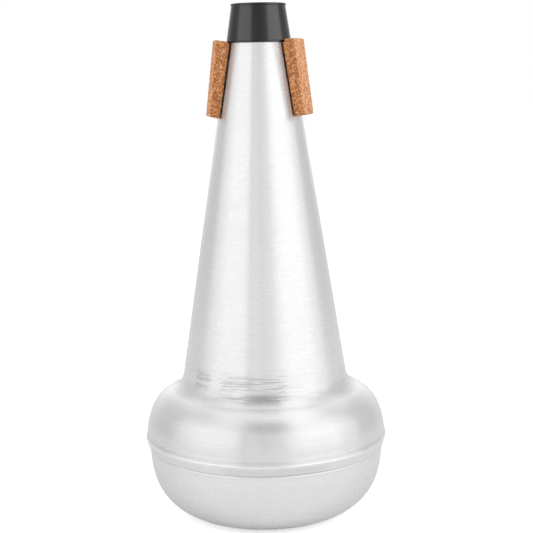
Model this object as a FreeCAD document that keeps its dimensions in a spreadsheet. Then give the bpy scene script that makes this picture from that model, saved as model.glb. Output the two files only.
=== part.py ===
"""A trombone practice mute: a spun aluminium body with a base pan rolled into its
skirt, a moulded end cap pushed into the narrow end, and three cork strips, each
on its own bed of glue, which hold the mute in the throat of the bell.

The mute stands on its base. Z is its axis and points up, the middle of the base
is the origin, and -Y is the side that faces the viewer. Millimetres and degrees.
"""
import FreeCAD, Part
import math
import os
import Sketcher

doc = FreeCAD.newDocument("practice_mute")

# The sizes that a maker sets, each in a cell of its own.
# A slope is the angle between the sheet and the horizontal at a place on the outline.
SIZES = [
    # the spun body
    ("sheet_thickness", 1.0, "wall of both spun pieces"),
    ("mouth_diameter", 28.8, "outside of the cone at its cut narrow end"),
    ("cone_half_angle", 8.95, "taper of the cone, each side of the axis"),
    ("waist_radius", 9.9, "hollow round where the cone runs into the dome"),
    ("waist_angle", 21.5, "slope where that hollow round ends on the dome"),
    ("shoulder_radius", 17.0, "round at the top of the dome"),
    ("shoulder_angle", 65.0, "slope where the shoulder ends and the side begins"),
    ("side_radius", 29.2, "round of the dome's side"),
    ("side_foot_angle", 84.6, "slope at the foot of the side"),
    ("flare_radius", 22.0, "hollow round that runs out to the bead"),
    ("flare_angle", 76.0, "slope where the flare meets the bead"),
    ("bead_diameter", 115.0, "the widest place, on the crest of the bead"),
    ("bead_round", 3.0, "outer round of the bead"),
    ("bead_top_angle", 64.0, "slope of the bead at the crease above it"),
    ("bead_rise", 4.5, "crest of the bead above the edge of the skirt"),
    ("skirt_angle", 20.0, "how far the skirt is rolled in under the bead"),
    # the base pan
    ("base_corner_radius", 26.0, "round between the flat base and the bowl"),
    ("base_corner_angle", 73.0, "slope where that round ends"),
    ("bowl_radius", 47.0, "round of the bowl's side"),
    ("bowl_angle", 87.0, "slope at the top of the bowl"),
    ("pan_flare_radius", 9.4, "hollow round that runs out to the seam"),
    ("pan_flare_angle", 70.0, "slope of the pan at the seam"),
    ("seam_gap", 0.3, "open line between the pan's shoulder and the skirt"),
    ("seam_step", 0.05, "how far the pan's shoulder lies inside the skirt's edge"),
    ("neck_gap", 0.1, "play between the pan's neck and the skirt round it"),
    ("neck_top_gap", 0.3, "room between the neck's edge and the bead's hollow"),
    # the end cap
    ("cap_height", 17.5, "cap above the cut edge of the cone"),
    ("cap_top_diameter", 24.9, "outside of the cap just under its lip"),
    ("cap_overhang", 0.6, "foot of the cap proud of the cone"),
    ("cap_foot_height", 0.8, "height of the cap's foot"),
    ("cap_foot_step", 0.15, "foot proud of the cap's side"),
    ("cap_lip_height", 1.0, "height of the lip round the top"),
    ("cap_lip_step", 0.3, "lip proud of the cap's side"),
    ("cap_edge", 0.3, "bevel on the lip's top edge"),
    ("cap_wall", 2.0, "side wall of the cap"),
    ("cap_roof", 2.5, "top wall of the cap"),
    ("vent_diameter", 7.0, "hole in the top that lets the player's air out"),
    ("spigot_length", 10.0, "plug of the cap inside the cone"),
    ("spigot_gap", 0.1, "play between the plug and the cone's cut edge"),
    ("spigot_wall", 1.8, "wall of the plug"),
    ("spigot_lead", 0.8, "bevel that starts the plug into the cone"),
    # the cork strips, cut by hand and so not quite alike
    ("cork_width", 11.5, "strip, across the cone"),
    ("cork_low_thickness", 4.75, "strip at its lower end, sanded thinner"),
    ("cork_edge_round", 0.8, "sanded edges of the strip's outer face"),
    ("cork_relief", 0.55, "step in a strip's back that clears the foot of the cap"),
    ("cork_relief_length", 0.25, "that step, down from the cone's cut edge"),
    ("cork_left_angle", -81.0, "left strip, turned from the viewer's side"),
    ("cork_left_thickness", 6.1, "left strip at its end by the cap"),
    ("cork_left_length", 34.7, "left strip, along the cone"),
    ("cork_left_rise", 0.3, "left strip past the cone's cut edge"),
    ("cork_left_top_cut", 0.0, "its top out of square, higher at the back"),
    ("cork_left_low_cut", 0.4, "its lower end out of square, longer at the back"),
    ("cork_right_angle", 65.5, "right strip, turned from the viewer's side"),
    ("cork_right_thickness", 5.7, "right strip at its end by the cap"),
    ("cork_right_length", 34.4, "right strip, along the cone"),
    ("cork_right_rise", 0.5, "right strip past the cone's cut edge"),
    ("cork_right_top_cut", 0.6, "its top out of square, higher at the back"),
    ("cork_right_low_cut", 0.1, "its lower end out of square, longer at the back"),
    ("cork_back_thickness", 5.9, "back strip at its end by the cap"),
    ("cork_back_length", 34.5, "back strip, along the cone"),
    ("cork_back_rise", 0.4, "back strip past the cone's cut edge"),
    ("cork_back_top_cut", 0.3, "its top out of square, higher at the back"),
    ("cork_back_low_cut", 0.2, "its lower end out of square, longer at the back"),
    # the glue under a strip
    ("glue_thickness", 0.3, "glue under the middle of a strip"),
    ("glue_width", 8.0, "glue, across the cone"),
    ("glue_top_gap", 1.5, "bare metal between the cone's cut edge and the glue"),
    ("glue_length", 32.2, "glue, along the cone"),
    # how far a cutting tool runs past what it cuts
    ("overrun", 2.0, "tool past the face that it cuts"),
]


def rise(start, radius, high, low):
    """Height between two slopes of a round: start plus radius times the cosines' difference."""
    return f"{start} + {radius} * (cos({high}) - cos({low}))"


def reach(start, radius, high, low):
    """The same for the distance from the axis, with sines."""
    return f"{start} + {radius} * (sin({high}) - sin({low}))"


def inside(corner, slope):
    """The two cells of a corner's partner on the inner face of the sheet."""
    return [
        (f"{corner}_in_r", f"{corner}_r - Sizes.sheet_thickness * sin({slope})"),
        (f"{corner}_in_z", f"{corner}_z - Sizes.sheet_thickness * cos({slope})"),
    ]


def pan_inside(corner, slope):
    """The same on the pan, whose outer face looks down."""
    return [
        (f"{corner}_in_r", f"{corner}_r - Sizes.sheet_thickness * sin({slope})"),
        (f"{corner}_in_z", f"{corner}_z + Sizes.sheet_thickness * cos({slope})"),
    ]


def on_cone(corner, along, off):
    """A corner beside the cone, so far down it from the mouth and so far off its face."""
    return [
        (f"{corner}_r", f"mouth_r + ({along}) * sin(lean) + ({off}) * cos(lean)"),
        (f"{corner}_z", f"mouth_z - ({along}) * cos(lean) + ({off}) * sin(lean)"),
    ]


def strip_corners(side):
    """The corners of one strip, seen from the side, and how far it starts above the cut edge."""
    thickness = f"Sizes.glue_thickness + Sizes.cork_{side}_thickness"
    stop = f"cork_{side}_stop"
    return [
        (f"cork_{side}_back_rise", f"Sizes.cork_{side}_rise + Sizes.cork_{side}_top_cut"),
        (stop, f"Sizes.cork_{side}_length - Sizes.cork_{side}_rise"),
        *on_cone(f"cork_{side}_top_out", f"-Sizes.cork_{side}_rise", thickness),
        *on_cone(f"cork_{side}_top_step", f"-cork_{side}_back_rise", "step_off"),
        *on_cone(f"cork_{side}_step_out", "Sizes.cork_relief_length", "step_off"),
        *on_cone(f"cork_{side}_step_in", "Sizes.cork_relief_length", "Sizes.glue_thickness"),
        *on_cone(f"cork_{side}_low_in", f"{stop} + Sizes.cork_{side}_low_cut", "Sizes.glue_thickness"),
        *on_cone(f"cork_{side}_low_out", stop, "Sizes.glue_thickness + Sizes.cork_low_thickness"),
    ]


# The corners of every outline, worked out from the sizes: r is the distance from
# the axis, z the height. The pan is built up from the base to the seam, the body
# from the seam to the mouth, and the cap and the cork from the mouth.
POINTS = [
    ("lean", "Sizes.cone_half_angle"),
    ("cone_side_angle", "90 - lean"),
    ("skirt_side_angle", "90 + Sizes.skirt_angle"),
    # heights of the pan
    ("corner_top_z", rise("0", "Sizes.base_corner_radius", "0", "Sizes.base_corner_angle")),
    ("bowl_top_z", rise("corner_top_z", "Sizes.bowl_radius", "Sizes.base_corner_angle", "Sizes.bowl_angle")),
    ("pan_shoulder_z", rise("bowl_top_z", "Sizes.pan_flare_radius",
                            "Sizes.pan_flare_angle", "Sizes.bowl_angle")),
    # skirt and bead
    ("lip_z", "pan_shoulder_z + Sizes.seam_gap"),
    ("bead_r", "Sizes.bead_diameter / 2"),
    ("bead_z", "lip_z + Sizes.bead_rise"),
    ("bead_foot_r", reach("bead_r", "Sizes.bead_round", "skirt_side_angle", "90")),
    ("bead_foot_z", rise("bead_z", "Sizes.bead_round", "skirt_side_angle", "90")),
    ("lip_r", "bead_foot_r - (bead_foot_z - lip_z) * tan(Sizes.skirt_angle)"),
    ("crease_r", reach("bead_r", "Sizes.bead_round", "Sizes.bead_top_angle", "90")),
    ("crease_z", rise("bead_z", "Sizes.bead_round", "Sizes.bead_top_angle", "90")),
    # side, shoulder and waist
    ("side_foot_r", reach("crease_r", "Sizes.flare_radius", "Sizes.flare_angle", "Sizes.side_foot_angle")),
    ("side_foot_z", rise("crease_z", "Sizes.flare_radius", "Sizes.flare_angle", "Sizes.side_foot_angle")),
    ("side_top_r", reach("side_foot_r", "Sizes.side_radius", "Sizes.shoulder_angle", "Sizes.side_foot_angle")),
    ("side_top_z", rise("side_foot_z", "Sizes.side_radius", "Sizes.shoulder_angle", "Sizes.side_foot_angle")),
    ("waist_foot_r", reach("side_top_r", "Sizes.shoulder_radius", "Sizes.waist_angle", "Sizes.shoulder_angle")),
    ("waist_foot_z", rise("side_top_z", "Sizes.shoulder_radius", "Sizes.waist_angle", "Sizes.shoulder_angle")),
    ("waist_top_r", reach("waist_foot_r", "Sizes.waist_radius", "Sizes.waist_angle", "cone_side_angle")),
    ("waist_top_z", rise("waist_foot_z", "Sizes.waist_radius", "Sizes.waist_angle", "cone_side_angle")),
    # the cone up to its mouth
    ("mouth_r", "Sizes.mouth_diameter / 2"),
    ("mouth_z", "waist_top_z + (waist_top_r - mouth_r) / tan(lean)"),
    # the inner face of the body
    *inside("bead_foot", "skirt_side_angle"),
    ("lip_in_r", "lip_r - Sizes.sheet_thickness / cos(Sizes.skirt_angle)"),
    ("lip_in_z", "lip_z"),
    ("crease_low_in_r", "crease_r - Sizes.sheet_thickness * sin(Sizes.bead_top_angle)"),
    ("crease_low_in_z", "crease_z - Sizes.sheet_thickness * cos(Sizes.bead_top_angle)"),
    *inside("crease", "Sizes.flare_angle"),
    *inside("side_foot", "Sizes.side_foot_angle"),
    *inside("side_top", "Sizes.shoulder_angle"),
    *inside("waist_foot", "Sizes.waist_angle"),
    *inside("waist_top", "cone_side_angle"),
    ("mouth_in_r", "mouth_r - Sizes.sheet_thickness / cos(lean)"),
    ("mouth_in_z", "mouth_z"),
    ("bead_in_round", "Sizes.bead_round - Sizes.sheet_thickness"),
    ("flare_in_radius", "Sizes.flare_radius + Sizes.sheet_thickness"),
    ("side_in_radius", "Sizes.side_radius - Sizes.sheet_thickness"),
    ("shoulder_in_radius", "Sizes.shoulder_radius - Sizes.sheet_thickness"),
    ("waist_in_radius", "Sizes.waist_radius + Sizes.sheet_thickness"),
    # the pan, from the seam inwards
    ("pan_shoulder_r", "lip_r - Sizes.seam_step"),
    ("bowl_top_r", reach("pan_shoulder_r", "Sizes.pan_flare_radius",
                         "Sizes.pan_flare_angle", "Sizes.bowl_angle")),
    ("corner_top_r", reach("bowl_top_r", "Sizes.bowl_radius", "Sizes.base_corner_angle", "Sizes.bowl_angle")),
    ("base_edge_r", "corner_top_r - Sizes.base_corner_radius * sin(Sizes.base_corner_angle)"),
    ("base_edge_z", "0"),
    ("neck_foot_z", "pan_shoulder_z"),
    ("neck_top_z", "bead_foot_in_z - Sizes.neck_top_gap"),
    ("neck_side", "lip_in_r - Sizes.neck_gap / cos(Sizes.skirt_angle)"),
    ("neck_foot_r", "neck_side + (neck_foot_z - lip_z) * tan(Sizes.skirt_angle)"),
    ("neck_top_r", "neck_side + (neck_top_z - lip_z) * tan(Sizes.skirt_angle)"),
    ("neck_wall", "Sizes.sheet_thickness / cos(Sizes.skirt_angle)"),
    ("neck_top_in_r", "neck_top_r - neck_wall"),
    ("neck_top_in_z", "neck_top_z"),
    ("joggle_in_z", "pan_shoulder_z - Sizes.sheet_thickness"),
    ("joggle_in_r", "neck_side - neck_wall + (joggle_in_z - lip_z) * tan(Sizes.skirt_angle)"),
    *pan_inside("bowl_top", "Sizes.bowl_angle"),
    *pan_inside("corner_top", "Sizes.base_corner_angle"),
    ("base_edge_in_r", "base_edge_r"),
    ("base_edge_in_z", "Sizes.sheet_thickness"),
    ("base_centre_r", "0"),
    ("base_centre_z", "0"),
    ("base_centre_in_r", "0"),
    ("base_centre_in_z", "Sizes.sheet_thickness"),
    ("bowl_in_radius", "Sizes.bowl_radius - Sizes.sheet_thickness"),
    ("base_corner_in_radius", "Sizes.base_corner_radius - Sizes.sheet_thickness"),
    # the end cap
    ("cap_foot_r", "mouth_r + Sizes.cap_overhang"),
    ("cap_foot_z", "mouth_z"),
    ("cap_foot_top_r", "cap_foot_r"),
    ("cap_foot_top_z", "mouth_z + Sizes.cap_foot_height"),
    ("cap_side_foot_r", "cap_foot_r - Sizes.cap_foot_step"),
    ("cap_side_foot_z", "cap_foot_top_z"),
    ("cap_top_z", "mouth_z + Sizes.cap_height"),
    ("cap_side_top_r", "Sizes.cap_top_diameter / 2"),
    ("cap_side_top_z", "cap_top_z - Sizes.cap_lip_height"),
    ("cap_lip_low_r", "cap_side_top_r + Sizes.cap_lip_step"),
    ("cap_lip_low_z", "cap_side_top_z"),
    ("cap_lip_r", "cap_lip_low_r"),
    ("cap_lip_z", "cap_top_z - Sizes.cap_edge"),
    ("cap_rim_r", "cap_lip_r - Sizes.cap_edge"),
    ("cap_rim_z", "cap_top_z"),
    ("vent_top_r", "Sizes.vent_diameter / 2"),
    ("vent_top_z", "cap_top_z"),
    ("vent_low_r", "vent_top_r"),
    ("vent_low_z", "cap_top_z - Sizes.cap_roof"),
    ("roof_corner_r", "cap_side_top_r - Sizes.cap_wall"),
    ("roof_corner_z", "vent_low_z"),
    ("spigot_root_r", "mouth_in_r - Sizes.spigot_gap"),
    ("spigot_root_z", "mouth_z"),
    ("spigot_end_z", "mouth_z - Sizes.spigot_length"),
    ("spigot_end_r", "spigot_root_r - Sizes.spigot_lead"),
    ("spigot_lead_r", "spigot_root_r"),
    ("spigot_lead_z", "spigot_end_z + Sizes.spigot_lead"),
    ("spigot_end_in_r", "spigot_root_r - Sizes.spigot_wall"),
    ("spigot_end_in_z", "spigot_end_z"),
    # each cork strip, seen from the side
    ("step_off", "Sizes.glue_thickness + Sizes.cork_relief"),
    *strip_corners("left"),
    *strip_corners("right"),
    *strip_corners("back"),
    # the glue, which is the same under each strip
    ("glue_stop", "Sizes.glue_top_gap + Sizes.glue_length"),
    *on_cone("glue_top_out", "Sizes.glue_top_gap", "Sizes.glue_thickness"),
    *on_cone("glue_low_out", "glue_stop", "Sizes.glue_thickness"),
    *on_cone("glue_top_in", "Sizes.glue_top_gap", "-Sizes.overrun"),
    *on_cone("glue_low_in", "glue_stop", "-Sizes.overrun"),
    # the cone as a tool that hollows the glue's underside
    *on_cone("tool_top", "-Sizes.overrun", "0"),
    *on_cone("tool_low", "glue_stop + 2 * Sizes.overrun", "0"),
    ("tool_top_axis_r", "0"),
    ("tool_top_axis_z", "tool_top_z"),
    ("tool_low_axis_r", "0"),
    ("tool_low_axis_z", "tool_low_z"),
    # a strip is drawn towards +X, a quarter turn past the viewer's side
    ("left_turn", "Sizes.cork_left_angle - 90"),
    ("right_turn", "Sizes.cork_right_angle - 90"),
    ("back_turn", "(Sizes.cork_left_angle + Sizes.cork_right_angle) / 2 + 90"),
]


def fill_sheet(name, rows):
    """Writes one row for each value: its name, the value and what it is."""
    sheet = doc.addObject("Spreadsheet::Sheet", name)
    for number, (alias, value, note) in enumerate(rows, start=1):
        sheet.set(f"A{number}", alias)
        sheet.set(f"B{number}", value)
        sheet.setAlias(f"B{number}", alias)
        sheet.set(f"C{number}", note)
    return sheet


sizes = fill_sheet("Sizes", [(alias, str(value), note) for alias, value, note in SIZES])
points = fill_sheet("Points", [(alias, "=" + formula, "worked out") for alias, formula in POINTS])
doc.recompute()


def corner_at(name):
    """Where a corner lies in the plane of the outline."""
    return FreeCAD.Vector(points.get(f"{name}_r"), points.get(f"{name}_z"), 0)


def arc_between(start, end, radius, turn):
    """The short arc between two corners: turn is 1 to the left, -1 to the right."""
    chord = end - start
    middle = (start + end) * 0.5
    across = FreeCAD.Vector(-chord.y, chord.x, 0).normalize()
    depth = math.sqrt(max(radius ** 2 - (chord.Length / 2) ** 2, 0))
    centre = middle + across * (depth * turn)
    first, last = (start, end) if turn > 0 else (end, start)
    angles = [math.atan2(corner.y - centre.y, corner.x - centre.x) for corner in (first, last)]
    if angles[1] < angles[0]:
        angles[1] += 2 * math.pi
    circle = Part.Circle(centre, FreeCAD.Vector(0, 0, 1), radius)
    return Part.ArcOfCircle(circle, *angles)


def plane_of(body, role):
    """One of the body's own origin planes."""
    return next(item for item in body.Origin.OriginFeatures if item.Role == role)


def bind(sketch, kind, place, cell):
    """Adds a size to the sketch and ties it to its cell."""
    value = points.get(cell) if "." not in cell else sizes.get(cell.split(".")[1])
    number = sketch.addConstraint(Sketcher.Constraint(kind, *place, value))
    sketch.setExpression(f"Constraints[{number}]", cell if "." in cell else f"Points.{cell}")


def draw_outline(body, name, sides):
    """Draws a closed outline on the upright plane through the axis.

    sides lists each corner with the side that leaves it: None for a straight
    side, or the cell of its radius and the way that it turns.
    """
    sketch = body.newObject("Sketcher::SketchObject", name)
    sketch.AttachmentSupport = [(plane_of(body, "XZ_Plane"), "")]
    sketch.MapMode = "FlatFace"
    names = [corner for corner, _ in sides]
    places = [corner_at(corner) for corner in names]
    ends = []
    for index, (_, side) in enumerate(sides):
        start, end = places[index], places[(index + 1) % len(places)]
        if side is None:
            number = sketch.addGeometry(Part.LineSegment(start, end), False)
            ends.append((number, 1, 2))
        else:
            cell, turn = side
            radius = sizes.get(cell.split(".")[1]) if "." in cell else points.get(cell)
            number = sketch.addGeometry(arc_between(start, end, radius, turn), False)
            ends.append((number, 1, 2) if turn > 0 else (number, 2, 1))
    for index, corner in enumerate(names):
        number, first, _ = ends[index]
        before, _, last = ends[index - 1]
        sketch.addConstraint(Sketcher.Constraint("Coincident", before, last, number, first))
        if places[index].x == 0:
            sketch.addConstraint(Sketcher.Constraint("PointOnObject", number, first, -2))
        else:
            bind(sketch, "DistanceX", (-1, 1, number, first), f"{corner}_r")
        if places[index].y == 0:
            sketch.addConstraint(Sketcher.Constraint("PointOnObject", number, first, -1))
        else:
            bind(sketch, "DistanceY", (-1, 1, number, first), f"{corner}_z")
    for (number, _, _), (_, side) in zip(ends, sides):
        if side is not None:
            bind(sketch, "Radius", (number,), side[0])
    return sketch


def new_body(label):
    """A piece of the mute, named as its file is."""
    body = doc.addObject("PartDesign::Body", label)
    body.Label = label
    return body


def turn_on_axis(body, kind, name, sketch):
    """Turns the outline once round the axis, as a solid or as a cut."""
    feature = body.newObject(kind, name)
    feature.Profile = sketch
    feature.ReferenceAxis = (sketch, ["V_Axis"])
    feature.Angle = 360
    return feature


def thicken(body, name, sketch, width_cell):
    """Gives the outline its width, half each side of its plane."""
    pad = body.newObject("PartDesign::Pad", name)
    pad.Profile = sketch
    pad.SideType = "Symmetric"
    pad.setExpression("Length", width_cell)
    return pad


def turn_about_z(body, turn_cell):
    """Swings a piece that is drawn towards +X to its own side of the cone."""
    body.Placement = FreeCAD.Placement(
        FreeCAD.Vector(), FreeCAD.Rotation(FreeCAD.Vector(0, 0, 1), points.get(turn_cell)))
    body.setExpression("Placement.Rotation.Angle", f"Points.{turn_cell}")


def make_body_shell():
    """Cone, dome, bead and skirt, spun from one sheet, open at both ends."""
    body = new_body("body_shell")
    sketch = draw_outline(body, "shell_outline", [
        ("mouth", None),
        ("waist_top", ("Sizes.waist_radius", 1)),
        ("waist_foot", ("Sizes.shoulder_radius", -1)),
        ("side_top", ("Sizes.side_radius", -1)),
        ("side_foot", ("Sizes.flare_radius", 1)),
        ("crease", ("Sizes.bead_round", -1)),
        ("bead_foot", None),
        ("lip", None),
        ("lip_in", None),
        ("bead_foot_in", ("bead_in_round", 1)),
        ("crease_low_in", None),
        ("crease_in", ("flare_in_radius", -1)),
        ("side_foot_in", ("side_in_radius", 1)),
        ("side_top_in", ("shoulder_in_radius", 1)),
        ("waist_foot_in", ("waist_in_radius", -1)),
        ("waist_top_in", None),
        ("mouth_in", None),
    ])
    turn_on_axis(body, "PartDesign::Revolution", "shell_spun", sketch)
    return body


def make_base_pan():
    """Flat base and bowl, with a neck stepped in to go inside the skirt.

    The skirt leans in over the neck, which flares out into the hollow of the
    bead, so the rolled joint holds the pan without a fastener.
    """
    body = new_body("base_pan")
    sketch = draw_outline(body, "pan_outline", [
        ("base_centre", None),
        ("base_edge", ("Sizes.base_corner_radius", 1)),
        ("corner_top", ("Sizes.bowl_radius", 1)),
        ("bowl_top", ("Sizes.pan_flare_radius", -1)),
        ("pan_shoulder", None),
        ("neck_foot", None),
        ("neck_top", None),
        ("neck_top_in", None),
        ("joggle_in", None),
        ("bowl_top_in", ("bowl_in_radius", -1)),
        ("corner_top_in", ("base_corner_in_radius", -1)),
        ("base_edge_in", None),
        ("base_centre_in", None),
    ])
    turn_on_axis(body, "PartDesign::Revolution", "pan_spun", sketch)
    return body


def make_end_cap():
    """A hollow moulded cap with a vent, seated on the cone's cut edge by a plug."""
    body = new_body("end_cap")
    sketch = draw_outline(body, "cap_outline", [
        ("vent_top", None),
        ("cap_rim", None),
        ("cap_lip", None),
        ("cap_lip_low", None),
        ("cap_side_top", None),
        ("cap_side_foot", None),
        ("cap_foot_top", None),
        ("cap_foot", None),
        ("spigot_root", None),
        ("spigot_lead", None),
        ("spigot_end", None),
        ("spigot_end_in", None),
        ("roof_corner", None),
        ("vent_low", None),
    ])
    turn_on_axis(body, "PartDesign::Revolution", "cap_moulded", sketch)
    return body


def outer_face_edges(pad):
    """The four edges round the face of a strip that looks away from the cone."""
    lean = math.radians(points.get("lean"))
    outwards = FreeCAD.Vector(math.cos(lean), 0, math.sin(lean))
    face = max(pad.Shape.Faces, key=lambda each: each.CenterOfMass.dot(outwards))
    edges = pad.Shape.Edges
    wanted = [number for number, edge in enumerate(edges, start=1)
              if any(edge.isSame(side) for side in face.Edges)]
    return [f"Edge{number}" for number in wanted]


def make_cork_strip(side, turn_cell):
    """A flat-backed bar of cork, thinner at its lower end, sanded round outside.

    Its top reaches past the cone's cut edge, so its back is stepped there to
    clear the foot of the cap.
    """
    body = new_body(f"cork_strip_{side}")
    sketch = draw_outline(body, f"cork_outline_{side}", [
        (f"cork_{side}_top_step", None),
        (f"cork_{side}_top_out", None),
        (f"cork_{side}_low_out", None),
        (f"cork_{side}_low_in", None),
        (f"cork_{side}_step_in", None),
        (f"cork_{side}_step_out", None),
    ])
    bar = thicken(body, f"cork_bar_{side}", sketch, "Sizes.cork_width")
    doc.recompute()
    sanded = body.newObject("PartDesign::Fillet", f"cork_sanded_{side}")
    sanded.Base = (bar, outer_face_edges(bar))
    sanded.setExpression("Radius", "Sizes.cork_edge_round")
    turn_about_z(body, turn_cell)
    return body


def make_glue_bed(side, turn_cell):
    """The glue that fills the space between a flat strip and the round cone."""
    body = new_body(f"glue_bed_{side}")
    sketch = draw_outline(body, f"glue_outline_{side}", [
        ("glue_top_in", None),
        ("glue_top_out", None),
        ("glue_low_out", None),
        ("glue_low_in", None),
    ])
    thicken(body, f"glue_bar_{side}", sketch, "Sizes.glue_width")
    tool = draw_outline(body, f"glue_tool_{side}", [
        ("tool_top_axis", None),
        ("tool_top", None),
        ("tool_low", None),
        ("tool_low_axis", None),
    ])
    turn_on_axis(body, "PartDesign::Groove", f"glue_hollowed_{side}", tool)
    turn_about_z(body, turn_cell)
    return body


pieces = [make_body_shell(), make_base_pan(), make_end_cap()]
for side in ("left", "right", "back"):
    pieces.append(make_cork_strip(side, f"{side}_turn"))
    pieces.append(make_glue_bed(side, f"{side}_turn"))
doc.recompute()

# Nothing is written unless every object of the document is sound.
for item in doc.Objects:
    faults = [state for state in item.State if state in ("Invalid", "Error")]
    if faults:
        raise RuntimeError(f"{item.Label} is {faults}")
for piece in pieces:
    if piece.Shape.isNull() or not piece.Shape.isValid() or len(piece.Shape.Solids) != 1:
        raise RuntimeError(f"{piece.Label} is not one sound solid")

os.makedirs("parts", exist_ok=True)
for piece in pieces:
    piece.Shape.exportStep(f"parts/{piece.Label}.step")
    box = piece.Shape.BoundBox
    print(f"{piece.Label}: volume {piece.Shape.Volume:.1f}, "
          f"x {box.XMin:.2f} to {box.XMax:.2f}, y {box.YMin:.2f} to {box.YMax:.2f}, "
          f"z {box.ZMin:.2f} to {box.ZMax:.2f}")
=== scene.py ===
# %% [markdown]
# A trombone practice mute, dressed for a product photograph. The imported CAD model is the
# frame: it says where every piece lies and how large it is. This script gives each piece the
# surface that its maker leaves on it: aluminium spun on a lathe, a moulded cap, bars of
# pressed cork and the glue that holds them. The frame is loaded first, and its box is kept,
# because nothing that is made here may stand outside it.

import math

import bpy
from mathutils import Matrix, Vector


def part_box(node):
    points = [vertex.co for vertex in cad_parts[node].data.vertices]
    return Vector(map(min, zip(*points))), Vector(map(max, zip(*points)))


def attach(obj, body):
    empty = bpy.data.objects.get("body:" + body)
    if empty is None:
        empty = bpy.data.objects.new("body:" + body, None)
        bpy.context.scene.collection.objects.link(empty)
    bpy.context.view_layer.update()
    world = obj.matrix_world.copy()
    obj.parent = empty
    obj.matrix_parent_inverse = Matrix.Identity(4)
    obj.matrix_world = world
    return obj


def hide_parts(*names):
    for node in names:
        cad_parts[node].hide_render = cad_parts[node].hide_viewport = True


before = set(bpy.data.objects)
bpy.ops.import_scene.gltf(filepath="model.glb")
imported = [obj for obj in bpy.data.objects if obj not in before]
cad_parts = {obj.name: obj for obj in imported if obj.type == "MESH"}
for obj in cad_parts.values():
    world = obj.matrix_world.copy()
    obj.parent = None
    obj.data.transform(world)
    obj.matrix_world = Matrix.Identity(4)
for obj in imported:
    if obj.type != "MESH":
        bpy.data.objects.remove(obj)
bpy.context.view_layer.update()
MM = 0.001
print("pieces in the frame:", sorted(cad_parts))


# %% [markdown]
# Heights and radii that the pieces share come from the frame, so the dressed pieces follow
# if the model is packed again at another size. The mute stands on its base: the base is at
# height zero, and the axis is Z. Sizes are in millimetres until a mesh is made.

# %% Measure the frame
skirt_edge_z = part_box("body_shell")[0].z / MM
mouth_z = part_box("body_shell")[1].z / MM
bead_radius = max(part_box("body_shell")[1].x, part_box("body_shell")[1].y) / MM
cap_top_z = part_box("end_cap")[1].z / MM
neck_top_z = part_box("base_pan")[1].z / MM
print(f"skirt edge {skirt_edge_z:.2f}, neck top {neck_top_z:.2f}, mouth {mouth_z:.2f}")
print(f"cap top {cap_top_z:.2f}, bead radius {bead_radius:.2f}")


# %% [markdown]
# The camera stands where the photographer's stood: a little above the middle of the mute,
# looking slightly down, with a long lens and a small roll. A camera is turned by giving it
# three directions: its right, its up and its back. They are worked out from the pitch, the
# yaw and the roll, which is easier to read than a rotation found by trial.

# %% Camera
SENSOR_WIDTH = 36.0
LENS = 86.58
CAMERA_DISTANCE = 0.5984
CAMERA_HEIGHT = 0.2108
CAMERA_PITCH = math.radians(8.85)
CAMERA_YAW = math.radians(0.161)
CAMERA_ROLL = math.radians(1.02)


def make_camera():
    """Adds the camera at the photograph's place and makes it the scene's."""
    ahead = Vector((math.sin(CAMERA_YAW) * math.cos(CAMERA_PITCH),
                    math.cos(CAMERA_YAW) * math.cos(CAMERA_PITCH),
                    -math.sin(CAMERA_PITCH)))
    level_right = Vector((math.cos(CAMERA_YAW), -math.sin(CAMERA_YAW), 0))
    level_up = level_right.cross(ahead)
    right = level_right * math.cos(CAMERA_ROLL) - level_up * math.sin(CAMERA_ROLL)
    up = level_up * math.cos(CAMERA_ROLL) + level_right * math.sin(CAMERA_ROLL)
    data = bpy.data.cameras.new("photo_camera")
    data.lens = LENS
    data.sensor_width = SENSOR_WIDTH
    data.clip_start = 0.01
    camera = bpy.data.objects.new("photo_camera", data)
    turned = Matrix((right, up, -ahead)).transposed().to_4x4()
    camera.matrix_world = Matrix.Translation((0, -CAMERA_DISTANCE, CAMERA_HEIGHT)) @ turned
    bpy.context.scene.collection.objects.link(camera)
    bpy.context.scene.camera = camera
    return camera


camera = make_camera()
print(f"camera {CAMERA_DISTANCE} m in front, lens {LENS} mm")


# %% [markdown]
# Node trees are made in code in this lesson, both for materials and for geometry. Written
# out in full, each node takes four or five lines. One small helper adds a node, sets its
# options, and fills each of its inputs with a value or with a link from another node. The
# others are short names for the nodes that come up most.

# %% Helpers for node trees
def node(tree, kind, inputs=None, **options):
    """Adds a node. A value in inputs is either a number or colour, or a socket to link from."""
    made = tree.nodes.new(kind)
    for name, value in options.items():
        setattr(made, name, value)
    for key, value in (inputs or {}).items():
        if isinstance(value, bpy.types.NodeSocket):
            tree.links.new(value, made.inputs[key])
        else:
            made.inputs[key].default_value = value
    return made


def maths(tree, operation, *values):
    """Arithmetic on two or more numbers, from the left, or on a single one. Gives a socket."""
    result = node(tree, "ShaderNodeMath", dict(enumerate(values[:2])), operation=operation).outputs[0]
    for value in values[2:]:
        result = node(tree, "ShaderNodeMath", {0: result, 1: value}, operation=operation).outputs[0]
    return result


def plus(tree, *values):
    """Numbers added up."""
    return maths(tree, "ADD", *values)


def minus(tree, first, second):
    """The second number taken from the first."""
    return maths(tree, "SUBTRACT", first, second)


def times(tree, *values):
    """Numbers multiplied."""
    return maths(tree, "MULTIPLY", *values)


def vectors(tree, operation, *values):
    """One step of arithmetic on vectors. A dot product and a length are numbers."""
    outputs = node(tree, "ShaderNodeVectorMath", dict(enumerate(values)), operation=operation).outputs
    return outputs["Value" if operation in ("DOT_PRODUCT", "LENGTH") else "Vector"]


def parts_of(tree, vector):
    """The X, Y and Z of a vector."""
    return node(tree, "ShaderNodeSeparateXYZ", {0: vector}).outputs


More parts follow.
